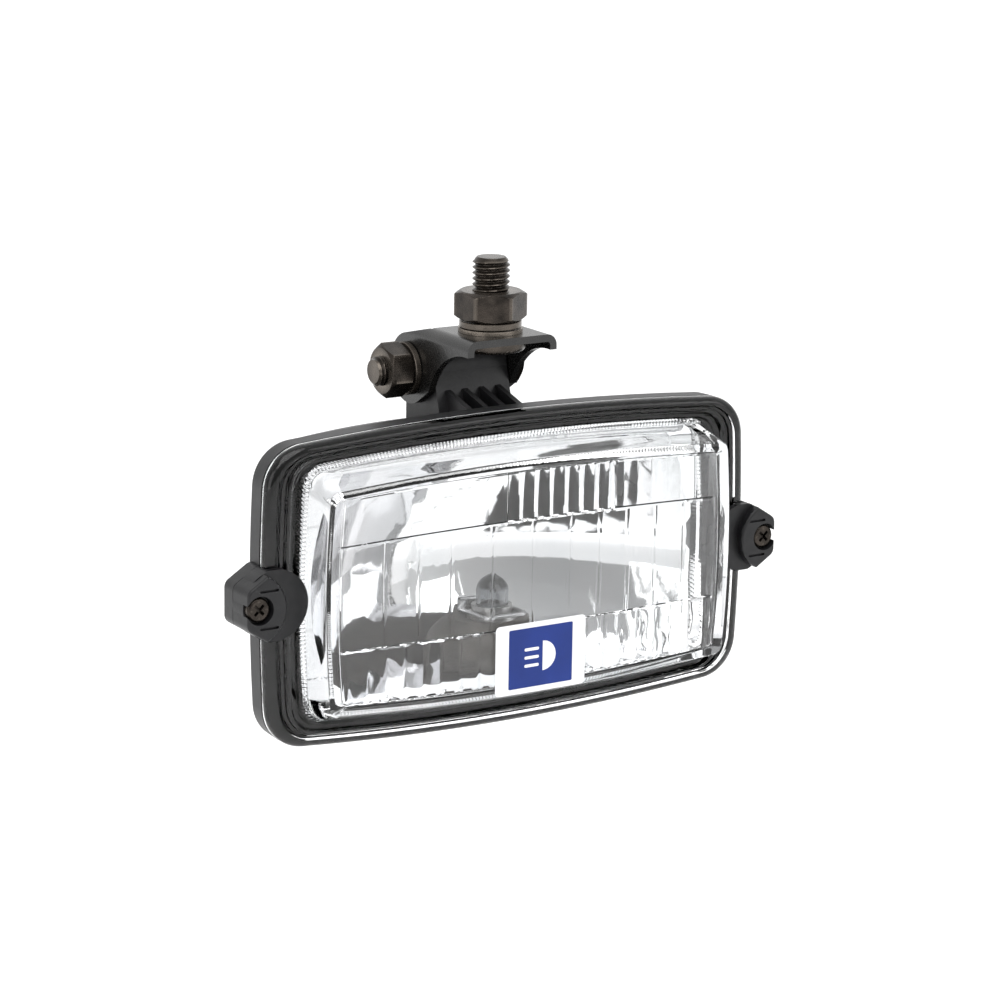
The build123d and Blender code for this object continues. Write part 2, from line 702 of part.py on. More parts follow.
with BuildPart() as cable_grommet:
    with BuildSketch(across(BODY_DEPTH - HOUSING_WALL)):
        with Locations((GROMMET_X, GROMMET_Z)):
            Circle(GROMMET_FLANGE_R)
    extrude(amount=GROMMET_INSIDE)
    with BuildSketch(across(BODY_DEPTH - HOUSING_WALL)):
        with Locations((GROMMET_X, GROMMET_Z)):
            Circle(GROMMET_R)
    extrude(amount=-HOUSING_WALL)
    with BuildSketch(across(BODY_DEPTH)):
        with Locations((GROMMET_X, GROMMET_Z)):
            Circle(GROMMET_FLANGE_R)
    extrude(amount=-GROMMET_OUTSIDE, taper=GROMMET_TAPER)
    with BuildSketch(across(0)):
        with Locations((GROMMET_X, GROMMET_Z)):
            Circle(CABLE_R)
    extrude(amount=-WIDE / 2, mode=Mode.SUBTRACT)
save(cable_grommet, "cable_grommet")


# ---- Bracket ------------------------------------------------------------------------------


def channel(half_width, top, bend):
    """One face of the folded channel's section, round at the bends and open below."""
    with BuildSketch() as shape:
        with BuildLine():
            Polyline(
                (-half_width, -CHANNEL_DEPTH),
                (-half_width, top),
                (half_width, top),
                (half_width, -CHANNEL_DEPTH),
                close=True,
            )
        make_face()
        bends = shape.vertices().filter_by(lambda v: v.Y > top - 1)
        fillet(bends, bend)
    return shape.sketch


def ear_outline():
    """The bracket seen from the side: round at the pivot, with a sweeping cut below the plate."""
    with BuildSketch() as shape:
        with BuildLine():
            Polyline((PLATE_BACK, 0), (PLATE_FRONT, 0), (PLATE_FRONT, -LIP_DEPTH))
            CenterArc((PIVOT_Y, PIVOT_Z), EAR_R, 0, 360)
        make_hull()
        with Locations((PLATE_FRONT + EAR_SWEEP_SETBACK, -LIP_DEPTH - EAR_SWEEP_R)):
            Circle(EAR_SWEEP_R, mode=Mode.SUBTRACT)
    return shape.sketch


with BuildPart() as bracket:
    with BuildSketch(Plane.XZ.offset(-PLATE_FRONT)):
        add(channel(BRACKET_HALF, 0, BEND_R))
        add(channel(BRACKET_HALF - SHEET, -SHEET, BEND_R - SHEET), mode=Mode.SUBTRACT)
    extrude(amount=PLATE_FRONT - PIVOT_Y - EAR_R - SPARE)
    with BuildSketch(Plane.YZ):
        add(ear_outline())
    extrude(amount=BRACKET_HALF + SPARE, both=True, mode=Mode.INTERSECT)
    # Behind the plate only the ears go on
    with BuildSketch(Plane.XY.offset(SPARE)):
        with Locations((0, PLATE_BACK + CHANNEL_DEPTH / 2)):
            Rectangle(2 * (BRACKET_HALF - SHEET), CHANNEL_DEPTH)
    extrude(amount=-CHANNEL_DEPTH - SPARE, mode=Mode.SUBTRACT)
    with BuildSketch(Plane.XY.offset(SPARE)):
        Circle(STUD_SHANK_R + RUNNING_GAP)
    extrude(amount=-SHEET - 2 * SPARE, mode=Mode.SUBTRACT)
    with BuildSketch(Plane.YZ):
        with Locations((PIVOT_Y, PIVOT_Z)):
            Circle(PIVOT_BOLT_R)
    extrude(amount=BRACKET_HALF + SPARE, both=True, mode=Mode.SUBTRACT)
save(bracket, "bracket")


# ---- Pivot bolt, nut and spring washer ----------------------------------------------------

with BuildPart() as pivot_bolt:
    with BuildSketch(Plane.YZ.offset(BRACKET_HALF)):
        with Locations((PIVOT_Y, PIVOT_Z)):
            RegularPolygon(PIVOT_FLATS / 2, 6, major_radius=False)
    extrude(amount=PIVOT_HEAD_HEIGHT)
    with BuildSketch(Plane.YZ.offset(BRACKET_HALF)):
        with Locations((PIVOT_Y, PIVOT_Z)):
            Circle(PIVOT_BOLT_R)
    extrude(amount=PIVOT_END - BRACKET_HALF)
    chamfer(pivot_bolt.faces().sort_by(Axis.X)[0].edges(), PIVOT_CHAMFER)
save(pivot_bolt, "pivot_bolt")

with BuildPart() as pivot_spring_washer:
    with BuildSketch(Plane.YZ.offset(-BRACKET_HALF)):
        with Locations((PIVOT_Y, PIVOT_Z)):
            Circle(PIVOT_WASHER[0])
            Circle(PIVOT_BOLT_R, mode=Mode.SUBTRACT)
    extrude(amount=-PIVOT_WASHER[1])
save(pivot_spring_washer, "pivot_spring_washer")

with BuildPart() as pivot_nut:
    with BuildSketch(Plane.YZ.offset(-BRACKET_HALF - PIVOT_WASHER[1])):
        with Locations((PIVOT_Y, PIVOT_Z)):
            RegularPolygon(PIVOT_FLATS / 2, 6, major_radius=False, rotation=PIVOT_NUT_TURN)
            Circle(PIVOT_BOLT_R, mode=Mode.SUBTRACT)
    extrude(amount=-PIVOT_NUT_HEIGHT)
save(pivot_nut, "pivot_nut")


# ---- Mounting stud and its fasteners ------------------------------------------------------

WASHER_TOP = SEAT_GAP + FLAT_WASHER[1]
SPRING_TOP = WASHER_TOP + SPRING_WASHER[1]
NUT_TOP = SPRING_TOP + STUD_NUT_HEIGHT
HEAD_TOP = -SHEET - SEAT_GAP

with BuildPart() as mounting_stud:
    with BuildSketch(Plane.XY.offset(HEAD_TOP)):
        Circle(STUD_HEAD_R)
    extrude(amount=-STUD_HEAD_HEIGHT)
    fillet(mounting_stud.faces().sort_by(Axis.Z)[0].edges(), STUD_HEAD_ROUND)
    with BuildSketch(Plane.XY.offset(HEAD_TOP)):
        Circle(STUD_SHANK_R)
    extrude(amount=NUT_TOP - HEAD_TOP)
    with BuildSketch(Plane.XY.offset(NUT_TOP)):
        Circle(STUD_R)
    extrude(amount=STUD_TOP - NUT_TOP)
    chamfer(mounting_stud.faces().sort_by(Axis.Z)[-1].edges(), STUD_CHAMFER)
save(mounting_stud, "mounting_stud")

with BuildPart() as stud_flat_washer:
    with BuildSketch(Plane.XY.offset(SEAT_GAP)):
        Circle(FLAT_WASHER[0])
        Circle(STUD_SHANK_R, mode=Mode.SUBTRACT)
    extrude(amount=FLAT_WASHER[1])
save(stud_flat_washer, "stud_flat_washer")

with BuildPart() as stud_spring_washer:
    with BuildSketch(Plane.XY.offset(WASHER_TOP)):
        Circle(SPRING_WASHER[0])
        Circle(STUD_SHANK_R, mode=Mode.SUBTRACT)
    extrude(amount=SPRING_WASHER[1])
save(stud_spring_washer, "stud_spring_washer")

with BuildPart() as stud_nut:
    with BuildSketch(Plane.XY.offset(SPRING_TOP)):
        RegularPolygon(STUD_NUT_FLATS / 2, 6, major_radius=False, rotation=STUD_NUT_TURN)
        Circle(STUD_SHANK_R, mode=Mode.SUBTRACT)
    extrude(amount=STUD_NUT_HEIGHT)
save(stud_nut, "stud_nut")
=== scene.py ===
"""The looks of the fog light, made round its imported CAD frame. Lengths are in metres."""

import json
import math

import bmesh
import bpy
import numpy as np
from mathutils import Matrix, Vector


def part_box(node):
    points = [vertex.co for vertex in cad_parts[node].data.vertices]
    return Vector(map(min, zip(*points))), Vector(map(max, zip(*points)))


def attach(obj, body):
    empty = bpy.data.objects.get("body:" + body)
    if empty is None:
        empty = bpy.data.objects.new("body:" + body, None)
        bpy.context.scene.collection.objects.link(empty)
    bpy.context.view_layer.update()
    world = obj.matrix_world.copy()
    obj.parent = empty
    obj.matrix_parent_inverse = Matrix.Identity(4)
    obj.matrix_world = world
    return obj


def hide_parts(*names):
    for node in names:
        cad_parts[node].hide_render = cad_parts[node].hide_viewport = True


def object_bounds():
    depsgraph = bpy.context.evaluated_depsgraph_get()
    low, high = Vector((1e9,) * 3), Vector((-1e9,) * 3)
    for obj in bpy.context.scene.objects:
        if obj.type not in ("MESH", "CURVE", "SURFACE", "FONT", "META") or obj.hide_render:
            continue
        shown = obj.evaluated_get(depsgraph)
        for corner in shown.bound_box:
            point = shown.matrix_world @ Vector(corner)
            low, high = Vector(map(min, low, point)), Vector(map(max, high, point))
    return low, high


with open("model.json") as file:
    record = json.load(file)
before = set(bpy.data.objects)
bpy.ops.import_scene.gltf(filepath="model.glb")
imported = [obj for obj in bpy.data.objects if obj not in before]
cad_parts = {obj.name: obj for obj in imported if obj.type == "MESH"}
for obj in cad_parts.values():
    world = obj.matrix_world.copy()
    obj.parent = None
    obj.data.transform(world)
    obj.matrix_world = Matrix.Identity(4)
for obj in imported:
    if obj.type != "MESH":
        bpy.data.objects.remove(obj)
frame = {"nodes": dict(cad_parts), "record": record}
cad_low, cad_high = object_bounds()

MM = 0.001
LAMP, BRACKET, STUD = "lamp", "bracket", "stud_mount"

# ---- Camera, floor and light --------------------------------------------------------------

CAMERA_PLACE = Vector((-0.45815, -0.7309, 0.16466))
CAMERA_YAW = math.radians(32.3)
CAMERA_PITCH = math.radians(13.73)
CAMERA_ROLL = math.radians(0.92)
CAMERA_LENS, CAMERA_SENSOR = 119.1, 36.0  # millimetres
CAMERA_CLIP = (0.05, 100.0)
FLOOR_DROP = 0.22  # how far the floor lies below the object
FLOOR_SIZE = 40.0
FLOOR_GLOW = 0.35  # keeps the far floor as white as the near floor
SURROUND_SLOPE = (0.2, 0.35, 0.05)  # the surround is brightest behind the lamp
SURROUND_SPAN, SURROUND_LEVELS = (-0.4, 0.3), (0.36, 1.05)
LIGHTS = (  # name, place from the middle of the object, size, power in watts
    ("top_light", (-0.25, -0.6, 1.0), 1.2, 11),
    ("left_light", (-1.3, -0.5, 0.35), 0.9, 4),
    ("right_light", (0.9, -1.1, 0.5), 0.8, 3.5),
)


def make_camera():
    """The camera stands where the photograph was taken from."""
    yaw, pitch, roll = CAMERA_YAW, CAMERA_PITCH, CAMERA_ROLL
    look = Vector((
        math.sin(yaw) * math.cos(pitch),
        math.cos(yaw) * math.cos(pitch),
        -math.sin(pitch),
    ))
    right = Vector((math.cos(yaw), -math.sin(yaw), 0.0))
    up = right.cross(look)
    rolled_right = right * math.cos(roll) + up * math.sin(roll)
    rolled_up = up * math.cos(roll) - right * math.sin(roll)
    data = bpy.data.cameras.new("camera")
    data.lens = CAMERA_LENS
    data.sensor_width = CAMERA_SENSOR
    data.clip_start, data.clip_end = CAMERA_CLIP
    camera = bpy.data.objects.new("camera", data)
    turn = Matrix((rolled_right, rolled_up, -look)).transposed().to_4x4()
    camera.matrix_world = Matrix.Translation(CAMERA_PLACE) @ turn
    bpy.context.scene.collection.objects.link(camera)
    bpy.context.scene.camera = camera


def area_light(name, place, target, size, power):
    """A soft square light that faces its target."""
    data = bpy.data.lights.new(name, "AREA")
    data.size = size
    data.energy = power
    light = bpy.data.objects.new(name, data)
    light.location = place
    light.rotation_mode = "QUATERNION"
    light.rotation_quaternion = (Vector(target) - Vector(place)).to_track_quat("-Z", "Y")
    bpy.context.scene.collection.objects.link(light)


def make_studio():
    """A pale floor, a pale surround and three soft lights."""
    world = bpy.data.worlds.new("surround")
    bpy.context.scene.world = world
    world.use_nodes = True
    nodes, links = world.node_tree.nodes, world.node_tree.links
    background = nodes["Background"]
    place = nodes.new("ShaderNodeTexCoord")
    slope = nodes.new("ShaderNodeVectorMath")
    slope.operation = "DOT_PRODUCT"
    slope.inputs[1].default_value = SURROUND_SLOPE
    ramp = nodes.new("ShaderNodeMapRange")
    limits = SURROUND_SPAN + SURROUND_LEVELS
    for socket, limit in zip(("From Min", "From Max", "To Min", "To Max"), limits):
        ramp.inputs[socket].default_value = limit
    links.new(place.outputs["Generated"], slope.inputs[0])
    links.new(slope.outputs["Value"], ramp.inputs["Value"])
    links.new(ramp.outputs[0], background.inputs["Color"])
    background.inputs["Strength"].default_value = 1.0
    level = cad_low.z - FLOOR_DROP
    half = FLOOR_SIZE / 2
    corners = [(x * half, y * half, level) for x, y in ((-1, -1), (1, -1), (1, 1), (-1, 1))]
    floor = make_object("floor", corners, [(0, 1, 2, 3)])
    paint = finish("floor_paint", (0.97, 0.97, 0.97), (0.95, 0.95, 0.95), 0.9, 2)
    shader = paint.node_tree.nodes["Principled BSDF"]
    shader.inputs["Emission Color"].default_value = (1, 1, 1, 1)
    shader.inputs["Emission Strength"].default_value = FLOOR_GLOW
    floor.data.materials.append(paint)
    middle = (cad_low + cad_high) / 2
    for name, offset, size, power in LIGHTS:
        area_light(name, middle + Vector(offset), middle, size, power)
    bpy.context.scene.view_settings.view_transform = "Standard"


# ---- Meshes -------------------------------------------------------------------------------

WELD = 2e-6  # points closer than this are one point


def make_object(name, points, faces, crease=None):
    """A mesh object, smooth except where faces meet at more than the crease angle."""
    mesh = bpy.data.meshes.new(name)
    mesh.from_pydata([tuple(p) for p in points], [], faces)
    work = bmesh.new()
    work.from_mesh(mesh)
    bmesh.ops.remove_doubles(work, verts=work.verts, dist=WELD)
    bmesh.ops.recalc_face_normals(work, faces=work.faces)
    work.to_mesh(mesh)
    work.free()
    if crease is not None:
        mesh.polygons.foreach_set("use_smooth", [True] * len(mesh.polygons))
        mesh.set_sharp_from_angle(angle=math.radians(crease))
    thing = bpy.data.objects.new(name, mesh)
    bpy.context.scene.collection.objects.link(thing)
    return thing


def dress(thing, body, slot, material, *replaced):
    """Puts a new piece on its body, with its material, in place of CAD nodes. The slot argument is
    not used.
    """
    thing.data.materials.clear()
    thing.data.materials.append(material)
    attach(thing, body)
    if replaced:
        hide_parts(*replaced)


def centre_of(low, high):
    """The middle of a box."""
    return (low + high) / 2


def bridge(first, second, count, share=1):
    """Faces between two closed rings. The first has share points for each of the second's."""
    faces = []
    for k in range(count):
        after = (k + 1) % count
        fine = [first + (k * share + n) % (count * share) for n in range(share + 1)]
        faces.append(fine + [second + after, second + k])
    return faces


def walls(rings, count):
    """Faces between each ring and the next."""
    faces = []
    for first, second in zip(rings, rings[1:]):
        faces += bridge(first, second, count)
    return faces


# ---- Materials ----------------------------------------------------------------------------

MOTTLE_GRAINS, SCUFF_GRAINS = 12, 25  # grains across a mottled patch and across a scuff
MOTTLE_SPAN = (0.35, 0.65)
EDGE_WEAR, SCUFF_WEAR = (0.53, 0.62, 0.7), (0.58, 0.75, 0.5)  # start, end and strength
GRAIN_HEIGHT = 0.0002
GLASS_GRAIN, GLASS_IOR = 500, 1.47
CAP_COLOUR = (0.05, 0.05, 0.055)
CAP_START, CAP_END = 0.4, 0.3  # distance from the bulb's top, as a share of its height


def noise(tree, place, scale, detail):
    """A noise over an object's own coordinates."""
    texture = tree.nodes.new("ShaderNodeTexNoise")
    texture.inputs["Scale"].default_value = scale
    texture.inputs["Detail"].default_value = detail
    tree.links.new(place.outputs["Object"], texture.inputs["Vector"])
    return texture.outputs["Fac"]


def finish(
    name, dark, light, roughness, grain, bump=0.0, metallic=0.0, spread=0.08,
    wear=None, worn_edges=False, coat=0.0, specular=0.5,
):
    """A surface with mottled colour, uneven gloss, a grain in relief and rubbed places.

    grain is the number of grains to a metre, and wear the colour of the rubbed places,
    which are the edges of a finely meshed piece, or else faint scuffs.
    """
    material = bpy.data.materials.new(name)
    material.use_nodes = True
    tree = material.node_tree
    nodes, links = tree.nodes, tree.links
    shader = nodes["Principled BSDF"]
    shader.inputs["Metallic"].default_value = metallic
    shader.inputs["Coat Weight"].default_value = coat
    shader.inputs["Specular IOR Level"].default_value = specular
    place = nodes.new("ShaderNodeTexCoord")
    colour = nodes.new("ShaderNodeValToRGB")
    for stop, position, tone in zip(colour.color_ramp.elements, MOTTLE_SPAN, (dark, light)):
        stop.position, stop.color = position, (*tone, 1)
    links.new(noise(tree, place, grain / MOTTLE_GRAINS, 4), colour.inputs[0])
    shade = colour.outputs[0]
    if wear is not None:
        edge = nodes.new("ShaderNodeMapRange")
        if worn_edges:
            rubbed = nodes.new("ShaderNodeNewGeometry").outputs["Pointiness"]
            limits = EDGE_WEAR
        else:
            rubbed = noise(tree, place, grain / SCUFF_GRAINS, 6)
            limits = SCUFF_WEAR
        for socket, limit in zip(("From Min", "From Max", "To Max"), limits):
            edge.inputs[socket].default_value = limit
        mix = nodes.new("ShaderNodeMix")
        mix.data_type = "RGBA"
        links.new(rubbed, edge.inputs["Value"])
        links.new(edge.outputs[0], mix.inputs["Factor"])
        links.new(shade, mix.inputs["A"])
        mix.inputs["B"].default_value = (*wear, 1)
        shade = mix.outputs["Result"]
    links.new(shade, shader.inputs["Base Color"])
    fine = noise(tree, place, grain, 3)
    gloss = nodes.new("ShaderNodeMapRange")
    gloss.inputs["To Min"].default_value = max(roughness - spread, 0.0)
    gloss.inputs["To Max"].default_value = min(roughness + spread, 1.0)
    links.new(fine, gloss.inputs["Value"])
    links.new(gloss.outputs[0], shader.inputs["Roughness"])
    if bump:
        relief = nodes.new("ShaderNodeBump")
        relief.inputs["Strength"].default_value = bump
        relief.inputs["Distance"].default_value = GRAIN_HEIGHT
        links.new(fine, relief.inputs["Height"])
        links.new(relief.outputs[0], shader.inputs["Normal"])
    return material


def clear_glass(name, tint, roughness, ripple, tint_far=None):
    """Pressed glass, with a faint ripple in its surface."""
    far = tint_far or tint
    material = finish(name, tint, far, roughness, GLASS_GRAIN, bump=ripple, spread=roughness)
    shader = material.node_tree.nodes["Principled BSDF"]
    shader.inputs["Transmission Weight"].default_value = 1.0
    shader.inputs["IOR"].default_value = GLASS_IOR
    return material


def capped_glass():
    """The bulb's glass, whose top is coated dark."""
    material = clear_glass("bulb_glass", (0.62, 0.64, 0.66), 0.03, 0.05)
    nodes, links = material.node_tree.nodes, material.node_tree.links
    colour = nodes["Principled BSDF"].inputs["Base Color"]
    low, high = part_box("bulb_glass")
    place = nodes.new("ShaderNodeTexCoord")
    split = nodes.new("ShaderNodeSeparateXYZ")
    cap = nodes.new("ShaderNodeMapRange")
    cap.inputs["From Min"].default_value = high.z - CAP_START * (high.z - low.z)
    cap.inputs["From Max"].default_value = high.z - CAP_END * (high.z - low.z)
    mix = nodes.new("ShaderNodeMix")
    mix.data_type = "RGBA"
    mix.inputs["B"].default_value = (*CAP_COLOUR, 1)
    links.new(colour.links[0].from_socket, mix.inputs["A"])
    links.new(place.outputs["Object"], split.inputs[0])
    links.new(split.outputs["Z"], cap.inputs["Value"])
    links.new(cap.outputs[0], mix.inputs["Factor"])
    links.new(mix.outputs["Result"], colour)
    return material


def make_materials():
    """One material for each slot in the record."""
    zinc_dark, zinc_light = (0.016, 0.013, 0.0105), (0.05, 0.041, 0.034)
    zinc_wear = (0.3, 0.26, 0.22)
    return {
        "lens_glass": clear_glass("lens_glass", (0.97, 0.985, 0.985), 0.006, 0.03, (1, 1, 1)),
        "seal_rubber": finish(
            "seal_rubber", (0.008, 0.008, 0.008), (0.02, 0.02, 0.02), 0.7, 2500, 0.08),
        "housing_plastic": finish(
            "housing_plastic", (0.009, 0.009, 0.010), (0.016, 0.016, 0.017), 0.42, 3500, 0.2,
            wear=(0.035, 0.035, 0.036), specular=0.4),
        "clip_plastic": finish(
            "clip_plastic", (0.005, 0.005, 0.006), (0.010, 0.010, 0.011), 0.4, 3200, 0.2,
            wear=(0.03, 0.03, 0.03), specular=0.35),
        "black_zinc": finish(
            "black_zinc", zinc_dark, zinc_light, 0.26, 2600, 0.2, 0.8, 0.12, zinc_wear, True),
        "plain_steel": finish(
            "plain_steel", (0.42, 0.42, 0.43), (0.6, 0.6, 0.61), 0.3, 2200, 0.15, 1.0, 0.1),
        "bracket_paint": finish(
            "bracket_paint", (0.004, 0.004, 0.004), (0.009, 0.0085, 0.008), 0.27, 1400, 0.07,
            spread=0.06, wear=(0.03, 0.027, 0.025), coat=0.15, specular=0.55),
        "label_vinyl": finish("label_vinyl", (0.74, 0.75, 0.78), (0.8, 0.8, 0.82), 0.3, 900, 0.03),
        "reflector_metal": finish(
            "reflector_metal", (0.68, 0.69, 0.71), (0.78, 0.78, 0.79), 0.045, 160, 0.08, 1.0, 0.03),
        "socket_plastic": finish(
            "socket_plastic", (0.05, 0.042, 0.035), (0.1, 0.088, 0.075), 0.6, 2400, 0.4),
        "bulb_metal": finish(
            "bulb_metal", (0.3, 0.3, 0.3), (0.5, 0.49, 0.48), 0.32, 2600, 0.2, 1.0),
        "bulb_glass": capped_glass(),
        "filament_tungsten": finish(
            "filament_tungsten", (0.3, 0.3, 0.3), (0.45, 0.45, 0.45), 0.4, 9000, 0.3, 1.0),
        "brass": finish("brass", (0.55, 0.42, 0.2), (0.74, 0.6, 0.34), 0.3, 2400, 0.2, 1.0),
    }


# ---- Lens ---------------------------------------------------------------------------------

RING_X, RING_Z = 240, 120  # intervals along a long and a short side of a coarse ring
COARSE = 2 * (RING_X + RING_Z)  # points of a coarse ring
FINE = 3  # points of a fine ring for each point of a coarse one
ARC_POINTS = 200
SIDE_INSETS, TOP_INSETS = (0, 2.2, 6.4, 11.4), (0, 1.8, 3.9, 7.2)  # of one ring; mm
EDGE_HEIGHT, EDGE_ROUND = 1.0, 2.2
FLANGE_RIDGES = (  # side inset and height of the bead and ridges, in millimetres
    (2.8, 3.2), (3.1, 3.05), (3.4, 2.4), (3.7, 2.2),
    (4.05, 2.15), (4.25, 2.65), (4.6, 2.65), (4.8, 2.1), (5.45, 2.1),
    (5.75, 2.95), (6.05, 3.2), (6.6, 3.2), (6.9, 2.95), (7.3, 1.7), (7.7, 1.4), (8.8, 1.4),
)
TOP_BOW, SIDE_BOW = 3.45 * MM, 1.4 * MM
STEP_BOW = 2.5 * MM
CORNER, FOOT_CORNER, FRONT_CORNER = 11.5 * MM, 5.2 * MM, 2.3 * MM
STEP_FOOT, STEP_FRONT = (63.6 * MM, 35.5 * MM), (63.0 * MM, 32.0 * MM)
STEP_ROWS = (0.35, 0.7, 0.93)  # how far up the step its plain rings lie
STEP_ROUND = ((0.98, 0.12 * MM, 0.25 * MM), (1.0, 0.6 * MM, 0.0))  # way up, inset, depth
STEP_WALL, INSIDE_DROP, FRONT_WALL = 2.3 * MM, 2.4 * MM, 2.2 * MM
FIELD = (59.0 * MM, 28.9 * MM)  # half size of the part of the front that carries the optics
FIELD_BOW, FIELD_CORNER = 1.8 * MM, 1.0 * MM
FIELD_GROOVE = ((0.5, 0.0), (0.25, 0.18), (0.0, 0.18), (-0.25, 0.0))  # outset, depth; mm
BAND_FOOT, BAND_TOP = (9.1, 1.8), (11.3, 3.3)  # side inset and height of the serrated band
BAND_ROWS, TOOTH_STEPS, TOOTH_HEIGHT = 5, 6, 0.5
SEAL_EDGE, SEAL_REACH, LIP_REACH = 0.8, 9.3, 11.6  # insets in millimetres
LIP_THICKNESS = 0.15 * MM  # the lip is a guess, and gives the serrated band a dark backing
UPPER_BAND, LOWER_BAND = 15.3 * MM, -14.0 * MM
# The middle band's flute edges in millimetres. The bulb and the label hide those at 0, 12
# and 21 in the photograph, so these are guesses.
FLUTE_EDGES = (-59, -45, -35, -25, -12.5, 0, 12, 21, 30, 39, 48, 57, 59)
FLUTE_DEPTH = 0.22 * MM
UPPER_PITCH, UPPER_DEPTH = 4.7 * MM, 0.5 * MM
# Where the upper band's deep flutes lie. This stretch, their pitch and their depth were set
# so that the dark spindles lie as in the photograph.
UPPER_STRONG = (-8 * MM, 26 * MM)
UPPER_WEAK = 0.15  # depth of its other flutes, as a share of the deep ones
UPPER_LEAN = 0.25 * MM
LOWER_PITCH, LOWER_DEPTH = 5.6 * MM, 0.34 * MM
LOWER_WAVE = (0.1 * MM, 1.5 * MM, 3.1 * MM)  # depth, and scale along Z and along X
BAND_LINE, FLUTE_LINE = 0.3 * MM, 0.16 * MM  # heights of the lines between bands and flutes


def quadrant(half_width, half_height, top_bow, side_bow, corner, steps_x, steps_z):
    """A bowed rectangle from the middle of its top to the middle of its right side."""
    chord_x, chord_z = half_width - side_bow, half_height - top_bow
    top_r = (chord_x**2 + top_bow**2) / (2 * top_bow)
    side_r = (chord_z**2 + side_bow**2) / (2 * side_bow)
    top_centre = np.array([0, half_height - top_r])
    side_centre = np.array([half_width - side_r, 0])
    gap = side_centre - top_centre
    apart = np.linalg.norm(gap)
    along = (apart**2 + (top_r - corner) ** 2 - (side_r - corner) ** 2) / (2 * apart)
    off = math.sqrt(max((top_r - corner) ** 2 - along**2, 0))
    unit = gap / apart
    normal = np.array([-unit[1], unit[0]])
    options = [top_centre + unit * along + normal * off * s for s in (1, -1)]
    centre = max(options, key=lambda p: p[1])
    start = math.atan2(*(centre - top_centre)[::-1])
    end = math.atan2(*(centre - side_centre)[::-1])

    def arc(middle, radius, first, last):
        turns = np.linspace(first, last, ARC_POINTS)
        return middle + radius * np.stack([np.cos(turns), np.sin(turns)], 1)

    halfway = (start + end) / 2
    top = [arc(top_centre, top_r, math.pi / 2, start), arc(centre, corner, start, halfway)]
    side = [arc(centre, corner, halfway, end), arc(side_centre, side_r, end, 0)]
    return spaced(np.vstack(top), steps_x), spaced(np.vstack(side), steps_z)


def spaced(line, steps):
    """The same line in equal steps."""
    run = np.concatenate([[0], np.cumsum(np.linalg.norm(np.diff(line, axis=0), axis=1))])
    at = np.linspace(0, run[-1], steps + 1)
    return np.stack([np.interp(at, run, line[:, 0]), np.interp(at, run, line[:, 1])], 1)


def bowed_ring(half_width, half_height, top_bow, corner, share):
    """A closed bowed rectangle, clockwise from the middle of its top."""
    steps = RING_X * share // 2, RING_Z * share // 2
    top, side = quadrant(half_width, half_height, top_bow, SIDE_BOW, corner, *steps)
    right_up = np.vstack([top, side[1:]])
    right_down = right_up[::-1][1:] * (1, -1)
    left_up = right_up[1:] * (-1, -1)
    left_down = right_up[::-1][1:-1] * (-1, 1)
    return np.vstack([right_up, right_down, left_up, left_down])


def flange_ring(inset, share):
    """A ring this many millimetres inside the glass's edge at the sides."""
    low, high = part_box("lens")
    half_width = (high.x - low.x) / 2 - inset * MM
    down = np.interp(inset, SIDE_INSETS, TOP_INSETS) * MM
    bow = TOP_BOW * (half_width / ((high.x - low.x) / 2)) ** 2
    corner = np.interp(inset, (0, SIDE_INSETS[-1]), (CORNER, FOOT_CORNER))
    return bowed_ring(half_width, (high.z - low.z) / 2 - down, bow, corner, share)


def flange_profile():
    """Side inset and height of the flange's front, in millimetres, from its edge inwards."""
    profile = [(0, 0), (0, EDGE_HEIGHT)]
    for turn in np.linspace(0, math.pi / 2, 8)[1:]:
        inset = EDGE_ROUND - EDGE_ROUND * math.cos(turn)
        profile.append((inset, EDGE_HEIGHT + EDGE_ROUND * math.sin(turn)))
    return profile + list(FLANGE_RIDGES)


def hump(within, depth):
    """A shallow arc across one flute, whose width runs from -0.5 to 0.5."""
    return depth * (1 - 4 * within**2)


def flute(x, pitch, depth):
    """The relief of even flutes across the glass."""
    return hump((x / pitch) % 1.0 - 0.5, depth)


def optics(x, z):
    """How far the back of the front face stands out at a place."""
    edges = np.array(FLUTE_EDGES) * MM
    number = np.clip(np.searchsorted(edges, x) - 1, 0, len(edges) - 2)
    width = edges[number + 1] - edges[number]
    within = np.clip((x - edges[number]) / width, 0, 1) - 0.5
    on_edge = np.abs(x[..., None] - edges).min(-1) < FIELD[0] / RING_X
    middle = hump(within, FLUTE_DEPTH) + FLUTE_LINE * on_edge
    strong = np.where((x > UPPER_STRONG[0]) & (x < UPPER_STRONG[1]), 1.0, UPPER_WEAK)
    upper = flute(x, UPPER_PITCH, UPPER_DEPTH) * strong
    upper = upper + UPPER_LEAN * np.clip((z - UPPER_BAND) / FIELD[1], 0, 1)
    wave_depth, wave_z, wave_x = LOWER_WAVE
    waves = wave_depth * np.sin(z / wave_z) * np.sin(x / wave_x)
    lower = flute(x, LOWER_PITCH, LOWER_DEPTH) + waves
    relief = np.where(z > UPPER_BAND, upper, np.where(z < LOWER_BAND, lower, middle))
    on_line = np.minimum(np.abs(z - UPPER_BAND), np.abs(z - LOWER_BAND)) < FIELD[1] / RING_Z
    return relief + BAND_LINE * on_line


